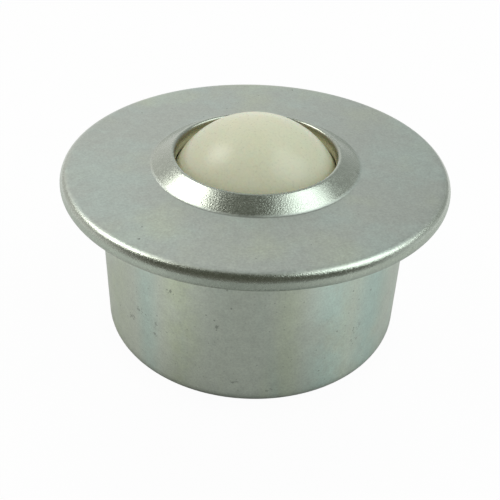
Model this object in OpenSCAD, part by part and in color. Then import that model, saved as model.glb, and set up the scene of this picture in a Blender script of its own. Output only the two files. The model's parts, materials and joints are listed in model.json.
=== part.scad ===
// Ball transfer unit: a pressed steel casing and cover hold a hardened cup race, in which a
// load ball rides on rings of small bearing balls. Millimetres. The origin is at the centre of
// the casing's foot, with +Z up along the axis that all the pressings share.

/* [Load ball] */
// Diameter of the load ball
load_ball_d = 26; // [23.5:0.1:28.5]
// Height of the load ball's top above the flat face of the cover
ball_rise = 6.2; // [5.4:0.1:7.2]

/* [Bearing balls] */
// Diameter of one bearing ball
bearing_ball_d = 4.5; // [4.3:0.02:4.8]
// Gap that each bearing ball keeps to the race, and again to the load ball
running_gap = 0.05; // [0.03:0.01:0.08]
// Least gap between neighbouring bearing balls
neighbour_gap = 0.05; // [0.02:0.01:0.1]
// Rings of bearing balls around the bottom one
ball_rings = 4; // [2:1:4]

/* [Ball race] */
// Wall of the hardened cup
race_wall = 1.2; // [1:0.1:1.4]
// Radius under the cup's flange, on its outer face
race_neck_r = 0.8; // [0.4:0.1:1]
// Gap between the cup's flange and the casing around it
race_fit_gap = 0.05; // [0.03:0.01:0.1]

/* [Retainer ring] */
// Thickness of the ring's sheet
retainer_sheet = 0.8; // [0.5:0.1:1]
// Outside radius of the bend between the ring's wall and its lip
retainer_bend_r = 1.2; // [1.1:0.1:1.6]
// Gap between the ring's wall and the bore of the race
retainer_fit_gap = 0.05; // [0.03:0.01:0.1]
// Gap between the ring's lip and the load ball
lip_gap = 0.5; // [0.3:0.1:0.8]
// How far the ring's lip lies below the middle of the load ball
lip_drop = 1; // [0.5:0.1:1.2]
// Least free height between the top ring of bearing balls and the lip
ball_headroom = 0.5; // [0.3:0.1:0.8]

/* [Casing] */
// Outside diameter of the casing's barrel
barrel_d = 44.5; // [42:0.5:50]
// Thickness of the casing sheet
casing_sheet = 0.9; // [0.7:0.1:1.1]
// Outside radius of the corner between barrel and foot
foot_corner_r = 2.5; // [1.8:0.1:3.4]
// Outside radius where the barrel turns out into the flange
neck_corner_r = 0.9; // [0.5:0.1:1]

/* [Top cover] */
// How far the hemmed rim stands out from the barrel, all round
flange_overhang = 5.25; // [4.75:0.25:9]
// Thickness of the cover sheet
cover_sheet = 0.9; // [0.7:0.1:1.1]
// Gap between the hem's end, under the flange, and the casing's neck
hem_end_gap = 1.05; // [0.3:0.05:1.5]
// Gap between the casing flange's edge and the inside of the hem
hem_gap = 0.1; // [0.05:0.05:0.4]

/* [Collar] */
// Width of the collar's slope, from the mouth out to the flat face
collar_width = 3.5; // [2.9:0.1:4.4]
// Height of the collar above the flat face, before its lip is rounded
collar_rise = 2; // [1.7:0.1:2.4]
// Gap between the mouth and the load ball, level with the top of the collar
mouth_gap = 1.9; // [1.6:0.05:2.2]
// Radius of the crease around the foot of the collar
crease_r = 0.2; // [0.1:0.1:1]
// Radius of the lip, where the sheet folds down into the mouth
lip_r = 0.5; // [0.3:0.1:0.8]
// Gap between the lower end of the folded sheet and the load ball, measured level
neck_gap = 0.2; // [0.1:0.05:0.3]

/* [Hidden] */
full_turn = 360;
half_turn = 180;
// Most that one straight step of a rounded corner turns, in degrees
arc_step = 10;
// Points of an outline closer than this are one point
same_point = 0.001;
// Share of a ball by which a ring may round up to a whole number of balls
whole_ball = 0.001;
$fn = 96;

load_ball_r = load_ball_d / 2;
bearing_ball_r = bearing_ball_d / 2;
barrel_r = barrel_d / 2;
flange_r = barrel_r + flange_overhang;

// The stack that sets the load ball's height: casing floor, race, bearing ball, load ball
race_bore_r = load_ball_r + bearing_ball_d + 2 * running_gap;
race_outer_r = race_bore_r + race_wall;
ball_centre_z = casing_sheet + race_outer_r;
// Depth of the body, from the flat face of the cover to the casing's foot
body_depth = ball_centre_z + load_ball_r - ball_rise;

// The stack under the cover's flat face
cover_under_z = body_depth - cover_sheet;
casing_flange_under_z = cover_under_z - casing_sheet;
hem_under_z = casing_flange_under_z - cover_sheet;

// The hem wraps the casing flange, with its inside radius half of that sheet
hem_outer_r = cover_sheet + casing_sheet / 2;
hem_end_r = barrel_r + neck_corner_r + hem_end_gap;
casing_flange_r = flange_r - hem_outer_r - hem_gap;

race_flange_r = barrel_r - casing_sheet - race_fit_gap;
race_flange_under_z = cover_under_z - race_wall;
// The radius under the race's flange is at most as wide as the flange
race_neck = min(race_neck_r, race_flange_r - race_outer_r);

// The mouth follows the load ball's own radius at the height of the collar, and its sheet is
// folded down until it nearly meets the load ball
lip_z = body_depth + collar_rise;
mouth_r = sqrt(load_ball_r ^ 2 - (lip_z - ball_centre_z) ^ 2) + mouth_gap;
collar_base_r = mouth_r + collar_width;
neck_end_z = ball_centre_z + sqrt(load_ball_r ^ 2 - (mouth_r - neck_gap) ^ 2);

// Bearing balls lie on a sphere, in rings that are one ring_angle apart from the bottom up
pitch_r = race_bore_r - running_gap - bearing_ball_r;
ball_spacing = bearing_ball_d + neighbour_gap;
ring_angle = asin(ball_spacing / pitch_r);
ring_sizes = [for (ring = [0:ball_rings]) ring_size(ring)];
ball_places = [
    for (ring = [0:ball_rings], place = [0:ring_sizes[ring] - 1])
        [ring * ring_angle, (place + (ring % 2) / 2) * full_turn / ring_sizes[ring]]
];
top_ring_z = ball_centre_z - pitch_r * cos(ball_rings * ring_angle);

retainer_r = race_bore_r - retainer_fit_gap;
retainer_lip_r = load_ball_r + lip_gap;
retainer_lip_z = max(ball_centre_z - lip_drop, top_ring_z + bearing_ball_r + ball_headroom);

two_digits = 10;
bearing_ball_names = [
    for (number = [1:len(ball_places)]) str("bearing_ball_", number < two_digits ? "0" : "", number)
];

// How many bearing balls fit around a ring, counted from the single one at the bottom
function ring_size(ring) =
    ring == 0 ? 1 : floor(half_turn / asin(ball_spacing / 2 / ring_r(ring)) + whole_ball);
function ring_r(ring) = pitch_r * sin(ring * ring_angle);

function unit(v) = v / norm(v);
function left_of(v) = [-v.y, v.x];
function turned(v, angle) =
    [v.x * cos(angle) - v.y * sin(angle), v.x * sin(angle) + v.y * cos(angle)];
// Angle from one direction to the next, positive to the left
function turn_between(u, v) = atan2(u.x * v.y - u.y * v.x, u * v);

// One corner of an outline, replaced by an arc of radius r that meets both sides smoothly
function rounded_corner(before, corner, after, r) =
    let (
        u = unit(corner - before),
        angle = turn_between(u, unit(after - corner)),
        hand = sign(angle),
        steps = ceil(abs(angle) / arc_step),
        centre = corner - u * r * tan(abs(angle) / 2) + hand * r * left_of(u)
    )
    r == 0 ? [corner]
    : [for (step = [0:steps]) centre - hand * r * turned(left_of(u), angle * step / steps)];

// A closed outline with each corner rounded to its own radius, and no point twice
function rounded(corners, radii) =
    let (
        n = len(corners),
        points = [
            for (i = [0:n - 1])
                let (before = corners[(i + n - 1) % n], after = corners[(i + 1) % n])
                    each rounded_corner(before, corners[i], after, radii[i])
        ],
        last = len(points) - 1
    )
    [
        for (i = [0:last])
            if (norm(points[i] - points[i == 0 ? last : i - 1]) > same_point) points[i]
    ];

// Direction of travel along an open line of corners, into or out of corner i
function heading(line, i) = let (k = min(max(i, 0), len(line) - 2)) unit(line[k + 1] - line[k]);

// The other face of a sheet, one thickness to the right of a face given by its sharp corners
function far_face(face, sheet) = [
    for (i = [0:len(face) - 1])
        let (a = left_of(heading(face, i - 1)), b = left_of(heading(face, i)))
            face[i] - sheet * (a + b) / (1 + a * b)
];
// Its bend radii: a bend to the left grows by the thickness, and one to the right shrinks, down
// to a sharp corner where the sheet is folded tight
function far_radii(face, radii, sheet) = [
    for (i = [0:len(face) - 1])
        max(0, radii[i] + sheet * sign(turn_between(heading(face, i - 1), heading(face, i))))
];
function reversed(list) = [for (i = [len(list) - 1:-1:0]) list[i]];

// Section of a bent sheet: face and radii describe its outer face from end to end
function sheet_section(face, radii, sheet) = rounded(
    concat(face, reversed(far_face(face, sheet))),
    concat(radii, reversed(far_radii(face, radii, sheet)))
);

// Deep-drawn cup whose flange lies inside the cover's hem
module casing() {
    face = [
        [casing_flange_r, casing_flange_under_z],
        [barrel_r, casing_flange_under_z],
        [barrel_r, 0],
        [0, 0]
    ];
    radii = [0, neck_corner_r, foot_corner_r, 0];
    color("#a3aaa2") rotate_extrude() polygon(sheet_section(face, radii, casing_sheet));
}

// Hardened cup: a spherical bowl that stands on the casing's floor and a flange that the
// cover clamps
module ball_race() {
    face = [
        [race_flange_r, race_flange_under_z],
        [race_outer_r, race_flange_under_z],
        [race_outer_r, ball_centre_z]
    ];
    color("#6f7270") {
        rotate_extrude() polygon(sheet_section(face, [0, race_neck, 0], race_wall));
        translate([0, 0, ball_centre_z]) difference() {
            sphere(race_outer_r);
            sphere(race_bore_r);
            cylinder(h = race_outer_r + race_wall, r = race_outer_r + race_wall);
        }
    }
}

// Pressed ring inside the race: its lip keeps the bearing balls from climbing to the mouth
module retainer_ring() {
    face = [
        [retainer_r, cover_under_z],
        [retainer_r, retainer_lip_z],
        [retainer_lip_r, retainer_lip_z]
    ];
    radii = [0, retainer_bend_r, 0];
    color("#8b8f8d") rotate_extrude() polygon(sheet_section(face, radii, retainer_sheet));
}

// Cover sheet: a collar folded down into the mouth around the ball, a flat face, and a rim
// hemmed round the casing flange
module top_cover() {
    face = [
        [mouth_r, neck_end_z],
        [mouth_r, lip_z],
        [collar_base_r, body_depth],
        [flange_r, body_depth],
        [flange_r, hem_under_z],
        [hem_end_r, hem_under_z]
    ];
    radii = [0, lip_r, crease_r, hem_outer_r, hem_outer_r, 0];
    color("#b4bcb8") rotate_extrude() polygon(sheet_section(face, radii, cover_sheet));
}

module load_ball() {
    color("#d8dac4") translate([0, 0, ball_centre_z]) sphere(load_ball_r);
}

module bearing_ball(place) {
    color("#c9cccd") translate([0, 0, ball_centre_z]) rotate([0, place.x, place.y])
        translate([0, 0, -pitch_r]) sphere(bearing_ball_r, $fn = 48);
}

casing();
ball_race();
retainer_ring();
top_cover();
load_ball();
for (i = [0:len(ball_places) - 1])
    bearing_ball(ball_places[i]);
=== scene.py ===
"""Ball transfer unit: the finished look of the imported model.

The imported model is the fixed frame, and its boxes and mounts give every place here. The cover,
the casing and the load ball are worked out again as smooth surfaces that stand for their nodes.
The ball race, the retainer ring and the bearing balls stay as they are and get a finish.
"""

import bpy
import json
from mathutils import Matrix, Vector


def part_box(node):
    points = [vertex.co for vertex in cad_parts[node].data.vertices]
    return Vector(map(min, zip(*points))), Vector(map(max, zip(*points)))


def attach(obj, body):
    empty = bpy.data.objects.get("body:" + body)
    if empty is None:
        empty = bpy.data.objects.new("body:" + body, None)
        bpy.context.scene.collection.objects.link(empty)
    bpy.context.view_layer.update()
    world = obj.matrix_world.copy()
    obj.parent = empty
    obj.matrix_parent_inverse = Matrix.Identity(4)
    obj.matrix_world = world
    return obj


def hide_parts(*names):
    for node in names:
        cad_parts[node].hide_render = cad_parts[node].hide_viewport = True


bl_info = {
    "name": "Ball Transfer Unit",
    "version": (1, 0, 0),
    "blender": (4, 5, 0),
    "location": "3D View > Sidebar > Ball Transfer",
    "description": "Surfaces, finishes and studio for a ball transfer unit",
    "category": "Object",
}

import json
import math

import bpy
import numpy as np
from bpy.props import FloatProperty, FloatVectorProperty, PointerProperty
from mathutils import Matrix, Vector

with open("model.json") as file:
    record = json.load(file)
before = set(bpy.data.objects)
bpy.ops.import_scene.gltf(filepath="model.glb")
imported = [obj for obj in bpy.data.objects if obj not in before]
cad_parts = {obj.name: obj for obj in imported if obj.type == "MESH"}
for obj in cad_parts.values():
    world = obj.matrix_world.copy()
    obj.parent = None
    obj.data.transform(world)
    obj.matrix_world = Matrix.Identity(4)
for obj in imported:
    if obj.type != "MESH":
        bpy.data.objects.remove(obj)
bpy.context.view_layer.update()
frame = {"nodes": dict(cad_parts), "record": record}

MM = 0.001
FULL_TURN = 2 * math.pi

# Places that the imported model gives, in metres
COVER_LOW, COVER_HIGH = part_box("top_cover")
_, CASING_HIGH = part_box("casing")
BALL_LOW, BALL_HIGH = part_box("load_ball")
MOUNTS = {mount["name"]: mount for mount in frame["record"]["mounts"]}

BARREL_R = MOUNTS["body_barrel"]["dims"]["r_mm"] * MM
CASING_FLANGE_R = CASING_HIGH.x
FLANGE_R = COVER_HIGH.x
HEM_UNDER_Z = COVER_LOW.z
COVER_UNDER_Z = CASING_HIGH.z
# The cover and the casing are pressed from the same sheet, and the hem folds one round the other
SHEET = (COVER_UNDER_Z - HEM_UNDER_Z) / 2
FLAT_Z = COVER_UNDER_Z + SHEET
BALL_R = (BALL_HIGH.z - BALL_LOW.z) / 2
BALL_CENTRE = (BALL_LOW + BALL_HIGH) / 2


# ---------------------------------------------------------------------------
# Shader arithmetic
# ---------------------------------------------------------------------------


class Level:
    """A number or colour inside a finish: a socket whose arithmetic adds Math nodes."""

    def __init__(self, finish, socket):
        self.finish = finish
        self.socket = socket

    def math(self, operation, *terms):
        """A Math node on these terms, which are Levels or numbers."""
        return self.finish.node("ShaderNodeMath", {"operation": operation}, dict(enumerate(terms)))

    def __add__(self, other):
        return self.math("ADD", self, other)

    __radd__ = __add__

    def __sub__(self, other):
        return self.math("SUBTRACT", self, other)

    def __rsub__(self, other):
        return self.math("SUBTRACT", other, self)

    def __mul__(self, other):
        return self.math("MULTIPLY", self, other)

    __rmul__ = __mul__

    def __truediv__(self, other):
        return self.math("DIVIDE", self, other)

    def __rtruediv__(self, other):
        return self.math("DIVIDE", other, self)

    def __abs__(self):
        return self.math("ABSOLUTE", self)

    def at_least(self, other):
        return self.math("MAXIMUM", self, other)

    def at_most(self, other):
        return self.math("MINIMUM", self, other)

    def rise(self, low, high):
        """0 below low and 1 above high, with a smooth step between; falls where low > high."""
        return self.finish.node(
            "ShaderNodeMapRange",
            {"interpolation_type": "SMOOTHSTEP"},
            {"Value": self, "From Min": low, "From Max": high},
        )


class Finish:
    """Builds one node tree. Every node comes from node(), and sockets travel as Levels."""

    def __init__(self, tree):
        self.tree = tree
        tree.nodes.clear()

    def node(self, kind, settings=None, inputs=None, output=0):
        """Adds a node, sets its settings, then gives its sockets values or links."""
        made = self.tree.nodes.new(kind)
        for name, value in (settings or {}).items():
            setattr(made, name, value)
        for name, value in (inputs or {}).items():
            if isinstance(value, Level):
                self.tree.links.new(value.socket, made.inputs[name])
            else:
                made.inputs[name].default_value = value
        return Level(self, made.outputs[output]) if made.outputs else made

    def place(self):
        """Where the surface is, in metres on the piece's own axes."""
        return self.node("ShaderNodeTexCoord", output="Object")

    def vector(self, operation, a, b=(0, 0, 0), output=0):
        """A Vector Math node on a and b."""
        return self.node("ShaderNodeVectorMath", {"operation": operation}, {0: a, 1: b}, output)

    def distance(self, place, point=(0, 0, 0)):
        """How far a place is from a point."""
        return self.vector("DISTANCE", place, point, output="Value")

    def axes(self, place):
        """The x, y and z of a place as three Levels."""
        split = self.node("ShaderNodeSeparateXYZ", inputs={0: place}).socket.node
        return [Level(self, socket) for socket in split.outputs]

    def rays(self, *kinds):
        """A Level for each kind: 1 for rays of that kind, and 0 for all others."""
        path = self.node("ShaderNodeLightPath").socket.node
        return [Level(self, path.outputs[f"Is {kind} Ray"]) for kind in kinds]

    def noise(self, place, size, detail=2.0, gain=0.5):
        """Cloudy pattern from 0 to 1 whose blotches are about size across."""
        return self.node(
            "ShaderNodeTexNoise",
            inputs={"Vector": place, "Scale": 1 / size, "Detail": detail, "Roughness": gain},
            output="Fac",
        )

    def tinted(self, colour, level):
        """A colour made darker or lighter by a level."""
        inputs = {0: colour, "Scale": level}
        return self.node("ShaderNodeVectorMath", {"operation": "SCALE"}, inputs)

    def colours(self, first, second, share):
        """Colour that goes from first to second as share goes from 0 to 1."""
        return self.node(
            "ShaderNodeMix",
            {"data_type": "RGBA"},
            {"Factor": share, "A": first, "B": second},
            output="Result",
        )

    def shaders(self, first, second, share):
        """Shader that goes from first to second as share goes from 0 to 1."""
        return self.node("ShaderNodeMixShader", inputs={0: share, 1: first, 2: second})


# ---------------------------------------------------------------------------
# Surfaces
# ---------------------------------------------------------------------------

MOST_TURN = math.radians(9)  # between two points of an arc
TURN_STEPS = 360  # round a revolved surface
BALL_RINGS, BALL_STEPS = 145, 240  # from pole to pole of the load ball, and round it
SAME_POINT = 1e-9


def unit(steps):
    """Complex steps, each made one long."""
    return steps / np.abs(steps)


def far_face(face, radii, sheet):
    """The other face of a sheet, one thickness to the right of a face given by its corners.

    With a and b the left-hand normals before and after a corner, the far corner lies at
    face - sheet * (a + b) / (1 + a.b). A bend to the left grows by the thickness there, and one
    to the right shrinks, down to a sharp corner where the sheet is folded tight.
    """
    headings = unit(np.diff(face))
    a = 1j * np.concatenate([headings[:1], headings])
    b = 1j * np.concatenate([headings, headings[-1:]])
    bends = np.sign(np.angle(b / a).round(9))
    far = face - sheet * (a + b) / (1 + (a * b.conj()).real)
    return far, np.maximum(radii + sheet * bends, 0)


def line_points(corners, radii, spacing, closed):
    """Points along a line of corners, each rounded to its radius, and the normals left of it.

    Corners are complex numbers, radius + 1j * height. An arc that turns by angle w with radius
    r starts and ends r * tan(w / 2) from its corner. A distance t along a piece of curvature k
    lies at start + heading * t * sinc(k t / 2) * exp(i k t / 2), which is the chord of an arc
    and, where k is 0, a straight run.
    """
    out = unit(np.roll(corners, -1) - corners)
    into = np.roll(out, 1)
    turn = np.angle(out / into)
    trim = radii * np.tan(np.abs(turn) / 2)
    arc_start, arc_end = corners - into * trim, corners + out * trim
    run_length = np.abs(np.roll(arc_start, -1) - arc_end)
    curve = np.divide(np.sign(turn), radii, out=np.zeros(len(radii)), where=radii > 0)

    start = np.stack([arc_start, arc_end], 1).ravel()
    heading = np.stack([into, out], 1).ravel()
    length = np.stack([radii * np.abs(turn), run_length], 1).ravel()
    bend = np.stack([curve, 0 * curve], 1).ravel()
    if not closed:
        # The last run would come back along the axis
        start, heading, length, bend = start[:-1], heading[:-1], length[:-1], bend[:-1]

    # Straight runs are cut by spacing, and arcs so that no cut turns more than MOST_TURN
    cuts = np.ceil(np.maximum(length / spacing, length * np.abs(bend) / MOST_TURN)).astype(int)
    piece = np.repeat(np.arange(len(cuts)), cuts)
    step = np.arange(len(piece)) - np.repeat(np.cumsum(cuts) - cuts, cuts)
    t = length[piece] * step / cuts[piece]
    k = bend[piece]
    points = start[piece] + heading[piece] * t * np.sinc(k * t / FULL_TURN) * np.exp(0.5j * k * t)
    normals = 1j * heading[piece] * np.exp(1j * k * t)
    if not closed:
        points = np.append(points, corners[-1])
        normals = np.append(normals, 1j * into[-1])
    return points, normals


def revolved(points, normals):
    """A line turned about the axis: its point r + 1j z at angle w is (r cos w, r sin w, z)."""
    w = np.linspace(0, FULL_TURN, TURN_STEPS, endpoint=False)[:, None]

    def turned(line):
        level = np.broadcast_to(line.imag, (len(w), len(line)))
        return np.stack([line.real * np.cos(w), line.real * np.sin(w), level], -1)

    return turned(points), turned(normals)


def ripple(places, size, seed, waves=7):
    """Slow unevenness from 0 to 1: half of 1 plus the mean of sine waves of wavelength size,
    whose directions and phases are drawn at random."""
    draw = np.random.default_rng(seed)
    directions = draw.normal(size=(3, waves))
    directions *= FULL_TURN / size / np.linalg.norm(directions, axis=0)
    return 0.5 + 0.5 * np.sin(places @ directions + draw.uniform(0, FULL_TURN, waves)).mean(-1)


def dimple(places, centre, radius):
    """1 at centre, falling away all round as exp(-(distance / radius) ^ 2)."""
    return np.exp(-((places - np.array(centre)) ** 2).sum(-1) / radius**2)


def on_axis(radius, angle, height):
    """The point at that radius and height, turned by angle degrees from +X."""
    w = math.radians(angle)
    return radius * math.cos(w), radius * math.sin(w), height


def add_piece(name, grid, finish, joined=False):
    """A smooth mesh over a grid of points. The rows always close round, and the columns where
    joined. An outer column whose points all meet on an axis is a pole, and becomes one point. A
    cell is a quad, or a triangle at a pole."""
    rows, columns = grid.shape[:2]
    ids = np.arange(rows * columns).reshape(rows, columns)
    for column in (0, -1):
        if np.ptp(grid[:, column], axis=0).max() < SAME_POINT:
            ids[:, column] = ids[0, column]
    used, ids = np.unique(ids, return_inverse=True)
    ids = ids.reshape(rows, columns)
    ids = np.vstack([ids, ids[:1]])
    if joined:
        ids = np.hstack([ids, ids[:, :1]])
    a, b, c, d = (
        corner.ravel() for corner in (ids[:-1, :-1], ids[:-1, 1:], ids[1:, 1:], ids[1:, :-1])
    )
    first, last = a == d, b == c
    quads = np.stack([a, b, c, d], 1)[~(first | last)]
    triangles = np.concatenate([np.stack([a, b, c], 1)[first], np.stack([a, b, d], 1)[last]])

    mesh = bpy.data.meshes.new(name)
    mesh.vertices.add(len(used))
    mesh.vertices.foreach_set("co", grid.reshape(-1, 3)[used].astype(np.float32).ravel())
    mesh.loops.add(quads.size + triangles.size)
    mesh.loops.foreach_set(
        "vertex_index", np.concatenate([quads.ravel(), triangles.ravel()]).astype(np.int32)
    )
    sides = np.repeat([4, 3], [len(quads), len(triangles)])
    mesh.polygons.add(len(sides))
    mesh.polygons.foreach_set("loop_start", (np.cumsum(sides) - sides).astype(np.int32))
    mesh.polygons.foreach_set("use_smooth", np.ones(len(sides), bool))
    mesh.update(calc_edges=True)
    if mesh.validate():
        raise RuntimeError(f"the surface of {name} has bad faces")
    mesh.materials.append(finish)
    piece = bpy.data.objects.new(name, mesh)
    bpy.context.scene.collection.objects.link(piece)
    return piece


# ---------------------------------------------------------------------------
# Finishes
# ---------------------------------------------------------------------------

# Where the collar took a knock, in degrees from +X
KNOCK_TURN = -12
# Marks that handling left: radius or height in mm, degrees from +X, and size in mm
FLAT_MARKS = (
    (23.8, -89, 0.3),
    (25.3, 77, 0.4),
    (24.8, -124, 0.3),
    (21.6, -71, 0.25),
)
BARREL_MARKS = (
    (9.5, -138, 1.7),
    (11.4, -132, 1.4),
    (10.6, -123, 1.7),
    (9.0, -126, 1.2),
    (8.6, -75, 0.9),
    (4.6, -95, 1.3),
    (3.1, -83, 1.1),
    (10.5, -49, 1.4),
    (8.2, -50, 1.1),
    (4.6, -18, 1.3),
    (17.7, -118, 0.9),
    (13.9, -101, 1.0),
)
# Bands in the barrel's film: middle and half width in degrees, and strength
COOL_BANDS = ((-129, 8, 0.7), (-61, 13, 0.8), (-42, 15, 0.9))
WARM_BANDS = ((-77, 8, 0.5), (-114, 11, 0.8), (-150, 16, 0.5))


def new_material(name):
    """A new material and the finish that builds it."""
    material = bpy.data.materials.new(name)
    material.use_nodes = True
    return material, Finish(material.node_tree)


def surface(finish, **sockets):
    """Ends a finish in a Principled shader with these sockets, underscores for spaces."""
    inputs = {name.replace("_", " "): value for name, value in sockets.items()}
    shader = finish.node("ShaderNodeBsdfPrincipled", inputs=inputs)
    finish.node("ShaderNodeOutputMaterial", inputs={"Surface": shader})


def bump(finish, height, depth):
    """Normal of a surface whose height goes from 0 to 1 times depth."""
    inputs = {"Height": height, "Distance": depth, "Strength": 1.0}
    return finish.node("ShaderNodeBump", inputs=inputs)


def opaque(colour):
    """A colour's three parts and full alpha."""
    return (*colour, 1.0)


def film(finish, look, colour, cool, warm):
    """Plating whose thin film turns from its own colour to the cool and the warm tint."""
    base = finish.colours(opaque(colour), opaque(look.cool_film), cool)
    return finish.colours(base, opaque(look.warm_film), warm)


def pits(finish, place, spacing, size, shift):
    """Small dark specks, at most one in each cell of that spacing, left out at random. Another
    shift gives another pattern."""
    shifted = finish.vector("ADD", place, (shift, shift, shift))
    cell = finish.node(
        "ShaderNodeTexVoronoi",
        {"feature": "F1"},
        {"Vector": shifted, "Scale": 1 / spacing, "Randomness": 1.0},
        output="Distance",
    )
    speck = cell.rise(size / spacing, 0.4 * size / spacing)
    return speck * finish.noise(shifted, 5 * spacing, 1).rise(0.46, 0.54)


def smudges(finish, place, marks):
    """Groups of ragged dark flecks, each group a place and a radius in metres."""
    most = 0
    for centre, radius in marks:
        most = finish.distance(place, centre).rise(radius, 0).at_least(most)
    flecks = finish.noise(place, 0.6 * MM, 4, 0.7)
    return (flecks + most * 0.13).rise(0.64, 0.7) * (most * 4).at_most(1)


def band(turn, middle, width):
    """1 at the middle angle, falling smoothly to 0 at width degrees to either side."""
    return abs(turn - math.radians(middle)).rise(math.radians(width), 0)


def cover_finish(look, marks, mouth_r, collar_r):
    """Zinc plating, matt on the flat face and bright where the sheet was bent over the tool.
    Inside the mouth the wall is stained and darkened further with painted shade, and low down
    beside the ball it is dull and carries a painted cream reflection of the ball. Painted shade
    darkens the crease round the collar in front."""
    material, finish = new_material("zinc_cover")
    place = finish.place()
    _, y, height = finish.axes(place)
    radius = finish.distance(finish.vector("MULTIPLY", place, (1, 1, 0)))
    mouth = radius.rise(mouth_r + 0.3 * MM, mouth_r + 0.05 * MM)
    # Low on the wall beside the ball: a painted cream reflection of the ball, which also lightens
    # the shade there
    painted_ball_reflection = mouth * height.rise(FLAT_Z + 1.4 * MM, FLAT_Z)
    # Painted shade along the crease round the collar, in front only
    crease = abs(radius - collar_r).rise(0.22 * MM, 0.02 * MM) * y.rise(-8 * MM, -13 * MM)
    worked = abs(height - FLAT_Z).rise(0.02 * MM, 0.25 * MM)
    grain = finish.noise(place, look.grain_size, 3, 0.65)
    # Bending coarsened the sheet, most of all in front
    drag = 0.4 + y.rise(-10.5 * MM, -13 * MM) * 0.9
    fine = finish.noise(place, 0.7 * look.grain_size, 2, 0.6) * drag
    cloud = finish.noise(place, look.cloud_size, 5, 0.6)
    drift = finish.noise(finish.vector("ADD", place, (0.3, 0.1, 0.2)), look.cloud_size, 4)
    blotch = finish.noise(place, 1.4 * MM, 4, 0.6)
    dark = pits(finish, place, spacing=3.2 * MM, size=0.14 * MM, shift=1.7)
    dark = dark.at_least(smudges(finish, place, marks))
    cool, warm = cloud.rise(0.42, 0.66) * 0.35, drift.rise(0.45, 0.7) * 0.4
    base = film(finish, look, look.colour, cool, warm)
    base = finish.colours(base, opaque(look.bright_colour), worked)
    base = finish.tinted(base, 0.6 + blotch * 0.2 + grain * 0.6)
    # Dark specks and marks, and the crease's painted shade, in the same dark colour
    base = finish.colours(base, opaque(look.pit_and_crease_shade_colour), (dark * 0.6).at_least(crease * 0.55))
    # The wall round the ball is stained, and darkened further with painted shade that dulls its
    # reflections
    base = finish.colours(base, opaque(look.mouth_stain_and_shade_colour), mouth)
    # Painted reflection of the ball, low down beside it
    base = finish.colours(base, opaque(look.painted_ball_reflection_colour), painted_ball_reflection)
    roughness = look.matt_roughness + worked * (look.bright_roughness - look.matt_roughness)
    surface(
        finish,
        Base_Color=base,
        Metallic=1 - 0.8 * painted_ball_reflection,
        Roughness=roughness + (blotch - 0.5) * 0.12 + (grain - 0.5) * 0.2 + dark * 0.2,
        Normal=bump(finish, grain * 0.6 * (1 - worked) + fine * 0.7 * worked, look.grain_depth),
    )
    return material


def casing_finish(look, marks):
    """Zinc plating on the drawn barrel, with specks, a patchy film in bands along the draw that
    fades at the foot, and a painted highlight in a band down its front right."""
    material, finish = new_material("zinc_casing")
    place = finish.place()
    x, y, height = finish.axes(place)
    turn = y.math("ARCTAN2", y, x)
    patch = finish.noise(place, 9 * MM, 5, 0.6).rise(0.36, 0.6)
    wall = height.rise(0.3 * MM, 2.5 * MM) * (0.25 + patch * 0.75)
    drawn = finish.vector("MULTIPLY", place, (1, 1, 0.12))
    streak = finish.noise(drawn, 5 * MM, 4)
    other = finish.noise(finish.vector("ADD", drawn, (0.1, 0.3, 0)), 7 * MM, 4)
    grain = finish.noise(place, look.grain_size, 3, 0.65)
    blotch = finish.noise(place, 1.6 * MM, 5, 0.65)
    cool = streak.rise(0.5, 0.72) * 0.4
    warm = other.rise(0.5, 0.72) * 0.4
    for middle, width, share in COOL_BANDS:
        cool = cool.at_least(band(turn, middle, width) * share * wall)
    for middle, width, share in WARM_BANDS:
        warm = warm.at_least(band(turn, middle, width) * share * wall)
    dark = pits(finish, place, spacing=2.2 * MM, size=0.2 * MM, shift=0.4)
    dust = pits(finish, place, spacing=0.9 * MM, size=0.14 * MM, shift=2.4)
    dark = dark.at_least(dust * 0.7).at_least(smudges(finish, place, marks))
    base = film(finish, look, look.barrel_colour, cool, warm * (1 - cool))
    # Painted highlight: the barrel is lighter in a band about -60 degrees from +X
    sheen = band(turn, -60, 28) * wall * 0.12
    base = finish.tinted(base, 0.6 + blotch * 0.34 + grain * 0.46 + sheen)
    base = finish.colours(base, opaque(look.pit_and_crease_shade_colour), dark * 0.45)
    surface(
        finish,
        Base_Color=base,
        Metallic=1.0,
        Roughness=look.barrel_roughness + (blotch - 0.5) * 0.15 + dark * 0.2,
        Normal=bump(finish, grain * 0.5, look.grain_depth),
    )
    return material


def nylon_finish(look):
    """Ground cream nylon: a soft sheen over a fine, faintly mottled skin."""
    material, finish = new_material("nylon_ball")
    place = finish.place()
    mottle = finish.noise(place, 3 * MM, 4)
    skin = finish.noise(place, 0.35 * MM, 3, 0.6)
    base = finish.colours(opaque(look.colour), opaque(look.shade), mottle.rise(0.35, 0.8) * 0.35)
    base = finish.tinted(base, 0.9 + skin * 0.2)
    surface(
        finish,
        Base_Color=base,
        Roughness=look.roughness + (skin - 0.5) * 0.25,
        Subsurface_Weight=look.depth,
        Subsurface_Scale=1.5 * MM,
        Normal=bump(finish, skin, 0.012 * MM),
    )
    return material


def steel_finish(name, colour, roughness, line_size):
    """Bare steel with the fine lines that turning or grinding leaves."""
    material, finish = new_material(name)
    place = finish.place()
    lines = finish.noise(finish.vector("MULTIPLY", place, (1, 1, 6)), line_size, 3)
    stain = finish.noise(place, 6 * MM, 3)
    base = finish.colours(opaque(colour), opaque([0.7 * part for part in colour]), stain)
    surface(
        finish,
        Base_Color=base,
        Metallic=1.0,
        Roughness=roughness + (lines - 0.5) * 0.15,
        Normal=bump(finish, lines, 0.003 * MM),
    )
    return material


# ---------------------------------------------------------------------------
# Settings
# ---------------------------------------------------------------------------


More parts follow.
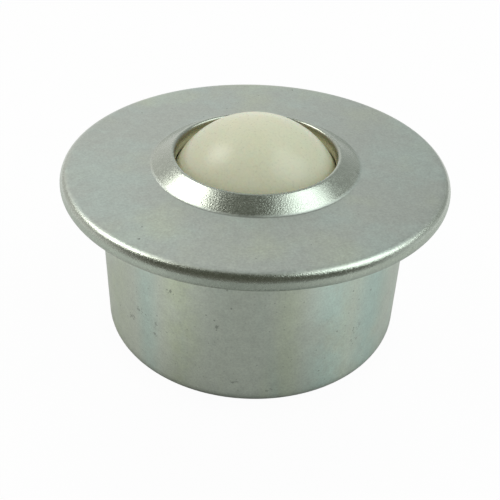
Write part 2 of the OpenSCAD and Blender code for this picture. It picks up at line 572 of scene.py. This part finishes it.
def length(name, description, default):
    return FloatProperty(
        name=name,
        description=description,
        default=default,
        min=0,
        unit="LENGTH",
        subtype="DISTANCE",
        precision=5,
    )


def share(name, description, default):
    return FloatProperty(
        name=name, description=description, default=default, min=0, max=1, subtype="FACTOR"
    )


def level(name, description, default):
    return FloatProperty(name=name, description=description, default=default, min=0)


def colour(name, description, default):
    return FloatVectorProperty(
        name=name, description=description, default=default, size=3, min=0, max=1, subtype="COLOR"
    )


def angle(name, description, default):
    return FloatProperty(
        name=name,
        description=description,
        default=math.radians(default),
        unit="ROTATION",
        subtype="ANGLE",
    )


class CoverSizes(bpy.types.PropertyGroup):
    """Sizes of the cover that its box doesn't give."""

    collar_width: length(
        "Collar width", "Width of the collar's slope, from the mouth to the flat face", 3.5 * MM
    )
    collar_rise: length(
        "Collar rise", "Height of the collar above the flat face, before rounding", 2 * MM
    )
    mouth_gap: length("Mouth gap", "Gap between the mouth and the load ball", 1.9 * MM)
    crease_radius: length("Crease radius", "Radius round the foot of the collar", 0.2 * MM)
    lip_radius: length("Lip radius", "Radius where the sheet folds into the mouth", 0.5 * MM)
    neck_gap: length("Neck gap", "Gap between the folded sheet's end and the ball", 0.1 * MM)
    hem_end_gap: length("Hem gap", "Gap between the hem's end and the casing's neck", 1.05 * MM)
    edge_radius: length("Edge radius", "Radius on the sheared edges", 0.06 * MM)
    unevenness: length("Unevenness", "How far the pressed sheet strays from true", 0.02 * MM)
    knock_depth: length("Knock", "Depth of the small knock on the collar", 0.09 * MM)


class CasingSizes(bpy.types.PropertyGroup):
    """Sizes of the casing that its box and mount don't give."""

    neck_radius: length("Neck radius", "Radius where the barrel turns into its flange", 0.9 * MM)
    foot_radius: length("Foot radius", "Radius between barrel and foot", 2.5 * MM)
    edge_radius: length("Edge radius", "Radius on the sheared edge", 0.06 * MM)
    unevenness: length("Unevenness", "How far the drawn barrel strays from true", 0.03 * MM)


class ZincLook(bpy.types.PropertyGroup):
    """The zinc plating on the cover and the casing."""

    colour: colour("Colour", "Colour of the plating", (0.538, 0.575, 0.535))
    bright_colour: colour("Bends", "Colour where bending burnished it", (0.495, 0.535, 0.475))
    barrel_colour: colour("Barrel colour", "Colour of the drawn barrel", (0.66, 0.695, 0.63))
    cool_film: colour("Cool film", "Tint of the bluish film", (0.57, 0.7, 0.66))
    warm_film: colour("Warm film", "Tint of the yellowish film", (0.64, 0.69, 0.52))
    # Also the colour of the painted shade in the crease round the collar
    pit_and_crease_shade_colour: colour("Pits", "Colour of the specks", (0.16, 0.17, 0.15))
    # A stain, darkened further with painted shade
    mouth_stain_and_shade_colour: colour("Mouth", "Colour of the stained wall round the ball", (0.25, 0.24, 0.18))
    # A painted reflection of the ball, which also lightens the shade beside it
    painted_ball_reflection_colour: colour("Deep in the mouth", "Its colour beside the ball", (0.7, 0.68, 0.48))
    matt_roughness: share("Flat roughness", "Roughness of the flat face", 0.42)
    bright_roughness: share("Bend roughness", "Roughness of the collar and the rim", 0.25)
    barrel_roughness: share("Barrel roughness", "Roughness of the drawn barrel", 0.34)
    cloud_size: length("Cloud size", "Width of the patches in the film", 11 * MM)
    grain_size: length("Grain size", "Width of the grain", 0.28 * MM)
    grain_depth: length("Grain depth", "Depth of the grain", 0.03 * MM)


class NylonLook(bpy.types.PropertyGroup):
    """The load ball's nylon."""

    wear: length("Wear", "How far the ground ball strays inwards from true", 0.02 * MM)
    colour: colour("Colour", "Colour of the nylon", (0.705, 0.705, 0.53))
    shade: colour("Mottle", "Colour of the faint mottling", (0.655, 0.66, 0.475))
    roughness: share("Roughness", "Roughness of the ground skin", 0.31)
    depth: share("Translucency", "Share of light that scatters inside", 0.25)


class SteelLook(bpy.types.PropertyGroup):
    """The steel parts inside."""

    race: colour("Race", "Colour of the hardened cup", (0.2, 0.2, 0.195))
    ring: colour("Retainer", "Colour of the retainer ring", (0.36, 0.37, 0.355))
    balls: colour("Bearing balls", "Colour of the bearing balls", (0.62, 0.63, 0.64))


class Studio(bpy.types.PropertyGroup):
    """Camera and light."""

    lens: length("Lens", "Focal length for a 36 mm sensor", 57.13 * MM)
    distance: length("Distance", "From the camera to the middle of the flat face", 113.67 * MM)
    elevation: angle("Elevation", "Of the camera, seen from the middle of the flat face", 28.864)
    tilt: angle("Tilt", "Of the camera, below the horizon", 35.319)
    heading: angle("Heading", "Of the camera, away from the axis to the right", -0.237)
    roll: angle("Roll", "Of the camera, anticlockwise", 1.944)
    left_lamp: level("Left lamp", "Brightness of the left lamp, where 1 is white", 5)
    left_tint: colour("Left lamp's tint", "Colour of the left lamp", (1, 0.99, 0.94))
    right_lamp: level("Right lamp", "Brightness of the right lamp, where 1 is white", 2.4)
    right_tint: colour("Right lamp's tint", "Colour of the right lamp", (0.93, 1, 0.98))
    zenith_level: share("Zenith", "Brightness overhead, where 1 is white", 0.1)
    front_level: share("Front", "Brightness overhead in front, where 1 is white", 0.07)
    fill_level: share("Fill", "Least brightness of the light that falls on matt surfaces", 0.45)
    right_dimming: share("Right side", "Share of light missing behind, on the right", 0.35)
    warm_side: colour("Left side's tint", "Of the surroundings on the left", (1, 0.985, 0.965))
    cool_side: colour("Right side's tint", "Of those on the right and overhead", (0.96, 1, 0.995))
    dark_side: colour("Darkest tint", "Of the surroundings in front", (0.035, 0.035, 0.01))
    floor_radius: length("Floor radius", "Radius of the floor", 1.5)
    floor_colour: colour("Floor", "Colour of the floor", (0.78, 0.79, 0.78))
    front_colour: colour("Floor in front", "Its colour where it lies in shade", (0.45, 0.46, 0.45))
    whiteness: share("Whiteness", "How far the camera sees the floor as pure white", 0.97)


# ---------------------------------------------------------------------------
# Operators
# ---------------------------------------------------------------------------


class BALLUNIT_OT_cover(bpy.types.Operator):
    """Presses the cover: collar, flat face and the rim hemmed round the casing's flange"""

    bl_idname = "ballunit.cover"
    bl_label = "Cover"

    def execute(self, context):
        sizes = context.scene.ballunit_cover
        lip_z = FLAT_Z + sizes.collar_rise
        mouth_r = math.sqrt(BALL_R**2 - (lip_z - BALL_CENTRE.z) ** 2) + sizes.mouth_gap
        collar_r = mouth_r + sizes.collar_width
        neck_end_z = BALL_CENTRE.z + math.sqrt(BALL_R**2 - (mouth_r - sizes.neck_gap) ** 2)
        # Two sheets lie in the hem, so the bend's radius is half of three thicknesses
        hem_r = 1.5 * SHEET
        hem_end_r = BARREL_R + context.scene.ballunit_casing.neck_radius + sizes.hem_end_gap
        edge = sizes.edge_radius

        face = np.array(
            [
                mouth_r + 1j * neck_end_z,
                mouth_r + 1j * lip_z,
                collar_r + 1j * FLAT_Z,
                FLANGE_R + 1j * FLAT_Z,
                FLANGE_R + 1j * HEM_UNDER_Z,
                hem_end_r + 1j * HEM_UNDER_Z,
            ]
        )
        radii = np.array([edge, sizes.lip_radius, sizes.crease_radius, hem_r, hem_r, edge])
        under, under_radii = far_face(face, radii, SHEET)
        under_radii[[0, -1]] = edge
        points, normals = line_points(
            np.concatenate([face, under[::-1]]),
            np.concatenate([radii, under_radii[::-1]]),
            spacing=0.35 * MM,
            closed=True,
        )
        grid, outward = revolved(points, normals)
        stray = ripple(grid, 14 * MM, seed=5)
        knocked = on_axis(collar_r - 0.6 * MM, KNOCK_TURN, FLAT_Z + 0.3 * MM)
        depth = sizes.unevenness * stray + sizes.knock_depth * dimple(grid, knocked, 0.5 * MM)
        upper = grid[..., 2] >= FLAT_Z - hem_r
        grid = grid - outward * (upper * depth)[..., None]
        marks = [(on_axis(r * MM, w, FLAT_Z), size * MM) for r, w, size in FLAT_MARKS]
        marks.append((on_axis(collar_r - 0.4 * MM, KNOCK_TURN, FLAT_Z), 0.7 * MM))
        finish = cover_finish(context.scene.ballunit_zinc, marks, mouth_r, collar_r)
        piece = add_piece("cover", grid, finish, joined=True)
        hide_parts("top_cover")
        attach(piece, "housing")
        return {"FINISHED"}


class BALLUNIT_OT_casing(bpy.types.Operator):
    """Draws the casing: foot, barrel, neck and the flange inside the cover's hem"""

    bl_idname = "ballunit.casing"
    bl_label = "Casing"

    def execute(self, context):
        sizes = context.scene.ballunit_casing
        flange_under_z = COVER_UNDER_Z - SHEET
        face = np.array(
            [
                CASING_FLANGE_R + 1j * flange_under_z,
                BARREL_R + 1j * flange_under_z,
                BARREL_R + 0j,
                0j,
            ]
        )
        radii = np.array([sizes.edge_radius, sizes.neck_radius, sizes.foot_radius, 0])
        inside, inside_radii = far_face(face, radii, SHEET)
        inside_radii[0], inside_radii[-1] = sizes.edge_radius, 0
        # From the middle of the floor, out over the inside and back under the foot
        points, normals = line_points(
            np.concatenate([inside[::-1], face]),
            np.concatenate([inside_radii[::-1], radii]),
            spacing=0.5 * MM,
            closed=False,
        )
        grid, outward = revolved(points, normals)
        radius = np.hypot(grid[..., 0], grid[..., 1])
        barrel = (radius > BARREL_R - 0.3 * SHEET) & (grid[..., 2] < HEM_UNDER_Z)
        # It runs along the draw, so heights count a quarter
        stray = ripple(grid * (1, 1, 0.25), 12 * MM, seed=8)
        grid = grid - outward * (sizes.unevenness * stray * barrel)[..., None]
        marks = [(on_axis(BARREL_R, w, z * MM), size * MM) for z, w, size in BARREL_MARKS]
        finish = casing_finish(context.scene.ballunit_zinc, marks)
        piece = add_piece("casing_shell", grid, finish)
        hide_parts("casing")
        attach(piece, "housing")
        return {"FINISHED"}


class BALLUNIT_OT_load_ball(bpy.types.Operator):
    """Grinds the nylon load ball"""

    bl_idname = "ballunit.load_ball"
    bl_label = "Load ball"

    def execute(self, context):
        look = context.scene.ballunit_nylon
        # Poles on the roll axis: radius * (cos v, sin v cos w, sin v sin w) about the centre
        v = np.linspace(0, math.pi, BALL_RINGS)
        w = np.linspace(0, FULL_TURN, BALL_STEPS, endpoint=False)[:, None]
        along = np.broadcast_to(np.cos(v), (len(w), len(v)))
        outward = np.stack([along, np.sin(v) * np.cos(w), np.sin(v) * np.sin(w)], -1)
        worn = look.wear * ripple(outward * BALL_R, 7 * MM, seed=3)
        grid = np.array(BALL_CENTRE) + outward * (BALL_R - worn)[..., None]
        piece = add_piece("nylon_ball", grid, nylon_finish(look))
        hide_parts("load_ball")
        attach(piece, "load_ball")
        return {"FINISHED"}


class BALLUNIT_OT_inside(bpy.types.Operator):
    """Finishes the steel parts inside: race, retainer ring and bearing balls"""

    bl_idname = "ballunit.inside"
    bl_label = "Parts inside"

    def execute(self, context):
        look = context.scene.ballunit_steel
        race = steel_finish("race_steel", look.race, roughness=0.3, line_size=0.6 * MM)
        ring = steel_finish("ring_steel", look.ring, roughness=0.32, line_size=0.8 * MM)
        bearing = steel_finish("bearing_steel", look.balls, roughness=0.12, line_size=0.5 * MM)
        finishes = {"ball_race": race, "retainer_ring": ring}
        for name, node in frame["nodes"].items():
            if name in finishes or name.startswith("bearing_ball"):
                for slot in node.material_slots:
                    slot.material = finishes.get(name, bearing)
        return {"FINISHED"}


class BALLUNIT_OT_stage(bpy.types.Operator):
    """Sets up the pale floor, the soft lamps, the surroundings and the camera"""

    bl_idname = "ballunit.stage"
    bl_label = "Stage"

    def execute(self, context):
        studio = context.scene.ballunit_studio
        middle = Vector((0, 0, FLAT_Z))
        self.add_floor(studio, BARREL_R - context.scene.ballunit_casing.foot_radius)
        self.add_surroundings(context.scene, studio)
        left = self.add_lamp("lamp_left", studio.left_lamp, studio.left_tint, width=0.25)
        self.aim(left, middle, azimuth=-71, elevation=49)
        right = self.add_lamp("lamp_right", studio.right_lamp, studio.right_tint, width=0.4)
        self.aim(right, middle, azimuth=92, elevation=53)
        self.add_camera(context.scene, studio, middle)
        context.scene.view_settings.view_transform = "Standard"
        return {"FINISHED"}

    def add_floor(self, studio, foot_r):
        """A wide disc under the unit, open below the foot's flat of radius foot_r, and clear from
        below. The camera sees it white with the unit's shadow on it, and so do rays that metal or
        glass passes on, where they meet it behind the unit. The light that it throws on the unit
        is dimmer in front and at the foot."""
        material, finish = new_material("floor")
        place = finish.place()
        x, y, _ = finish.axes(place)
        radius = finish.distance(place)

        # Shade spreads forwards as a wedge. It is weaker near the barrel, and full at the foot.
        in_front = (0 - y).at_least(4 * MM)
        lit = (abs(x - 0.05 * y) / in_front).rise(0.05, 1.1).at_least(y.rise(-10 * MM, 0))
        lit = lit.at_least(radius.rise(BARREL_R + 14 * MM, BARREL_R) * 0.45)
        lit = lit * radius.rise(BARREL_R - 1 * MM, BARREL_R + 3 * MM)
        paper = finish.node("ShaderNodeBsdfDiffuse", inputs={"Color": opaque(studio.floor_colour)})
        shade = finish.node("ShaderNodeBsdfDiffuse", inputs={"Color": opaque(studio.front_colour)})
        floor = finish.shaders(shade, paper, lit)

        camera, glossy, clear_through = finish.rays("Camera", "Glossy", "Transmission")
        mirrored = glossy.at_least(clear_through) * y.rise(0, 140 * MM)
        white = finish.node("ShaderNodeEmission", inputs={"Color": (1, 1, 1, 1)})
        floor = finish.shaders(floor, white, camera.at_least(mirrored) * studio.whiteness)

        below = finish.node("ShaderNodeNewGeometry", output="Backfacing")
        opening = radius.rise(foot_r + 0.2 * MM, foot_r - 1.5 * MM)
        clear = finish.node("ShaderNodeBsdfTransparent")
        floor = finish.shaders(floor, clear, below.at_least(opening))
        finish.node("ShaderNodeOutputMaterial", inputs={"Surface": floor})

        # A hair below the foot, so that the two never lie in one plane
        spoke = np.linspace(0, studio.floor_radius, 12) - 0.02j * MM
        grid, _ = revolved(spoke, spoke)
        add_piece("floor", grid, material)

    def add_surroundings(self, scene, studio):
        """White for the camera, and straight behind the unit also for rays that metal or glass
        passes on. For every other ray, a tent that is white at eye level, behind and to both
        sides, and darkens upwards and towards the camera."""
        world = bpy.data.worlds.new("tent")
        scene.world = world
        world.use_nodes = True
        finish = Finish(world.node_tree)
        right, away, up = finish.axes(finish.node("ShaderNodeTexCoord", output="Generated"))
        camera, diffuse, glossy, clear_through = finish.rays(
            "Camera", "Diffuse", "Glossy", "Transmission"
        )

        side = abs(right)
        open_side = away * (1 - 0.4 * side) + 0.8 * side * side * side * side * (1 - up * up)
        dim = right.rise(-0.35, 0.35) * away.rise(0.1, 0.6) * studio.right_dimming
        light = (studio.zenith_level + open_side * 0.9) * (1 - dim)
        low = 1 - up.at_least(0)
        front = (1 + 3 * low * low * low) * studio.front_level
        light = light.at_least(front).at_least(diffuse * studio.fill_level).at_most(1)

        dark, warm, cool, white = (
            finish.node("ShaderNodeBackground", inputs={"Color": opaque(tint)})
            for tint in (studio.dark_side, studio.warm_side, studio.cool_side, (1, 1, 1))
        )
        coolness = right.rise(-0.5, 0.5).at_least(up.rise(0.5, 0.8))
        tent = finish.shaders(dark, finish.shaders(warm, cool, coolness), light)
        mirrored = glossy.at_least(clear_through) * away.rise(0.94, 1)
        shown = finish.shaders(tent, white, camera.at_least(mirrored))
        finish.node("ShaderNodeOutputWorld", inputs={"Surface": shown})

    def add_lamp(self, name, level, tint, width):
        """A square soft lamp. Its power is its level times pi times its area, so 1 is white."""
        data = bpy.data.lights.new(name, "AREA")
        data.shape = "SQUARE"
        data.size = width
        data.energy = level * math.pi * width**2
        data.color = tint
        lamp = bpy.data.objects.new(name, data)
        bpy.context.scene.collection.objects.link(lamp)
        return lamp

    def aim(self, lamp, middle, azimuth, elevation, distance=0.6):
        """Hangs a lamp at that distance from the middle, at an azimuth from +Y towards +X and an
        elevation in degrees, and turns it to the middle."""
        turn, rise = math.radians(azimuth), math.radians(elevation)
        level_part = math.cos(rise)
        direction = Vector(
            (math.sin(turn) * level_part, math.cos(turn) * level_part, math.sin(rise))
        )
        lamp.location = middle + direction * distance
        lamp.rotation_euler = direction.to_track_quat("Z", "Y").to_euler()

    def add_camera(self, scene, studio, middle):
        """The camera, hung from the middle by its distance and elevation, then turned."""
        data = bpy.data.cameras.new("camera")
        data.lens = studio.lens / MM
        data.clip_start, data.clip_end = 0.01, 10
        camera = bpy.data.objects.new("camera", data)
        rise = studio.elevation
        place = middle + studio.distance * Vector((0, -math.cos(rise), math.sin(rise)))
        camera.matrix_world = (
            Matrix.Translation(place)
            @ Matrix.Rotation(-studio.heading, 4, "Z")
            @ Matrix.Rotation(math.pi / 2 - studio.tilt, 4, "X")
            @ Matrix.Rotation(studio.roll, 4, "Z")
        )
        scene.collection.objects.link(camera)
        scene.camera = camera


class BALLUNIT_PT_panel(bpy.types.Panel):
    """Lists the pieces and their settings"""

    bl_idname = "BALLUNIT_PT_panel"
    bl_label = "Ball transfer unit"
    bl_space_type = "VIEW_3D"
    bl_region_type = "UI"
    bl_category = "Ball Transfer"

    def draw(self, context):
        for operator in OPERATORS:
            self.layout.operator(operator.bl_idname)
        for name in GROUPS:
            box = self.layout.box()
            group = getattr(context.scene, name)
            for setting in group.__annotations__:
                box.prop(group, setting)


GROUPS = {
    "ballunit_cover": CoverSizes,
    "ballunit_casing": CasingSizes,
    "ballunit_zinc": ZincLook,
    "ballunit_nylon": NylonLook,
    "ballunit_steel": SteelLook,
    "ballunit_studio": Studio,
}
OPERATORS = (
    BALLUNIT_OT_cover,
    BALLUNIT_OT_casing,
    BALLUNIT_OT_load_ball,
    BALLUNIT_OT_inside,
    BALLUNIT_OT_stage,
)
CLASSES = (*GROUPS.values(), *OPERATORS, BALLUNIT_PT_panel)


def register():
    for item in CLASSES:
        bpy.utils.register_class(item)
    for name, group in GROUPS.items():
        setattr(bpy.types.Scene, name, PointerProperty(type=group))


def unregister():
    for name in GROUPS:
        delattr(bpy.types.Scene, name)
    for item in reversed(CLASSES):
        bpy.utils.unregister_class(item)


def main():
    register()
    bpy.ops.ballunit.cover()
    bpy.ops.ballunit.casing()
    bpy.ops.ballunit.load_ball()
    bpy.ops.ballunit.inside()
    bpy.ops.ballunit.stage()


if __name__ == "__main__":
    main()
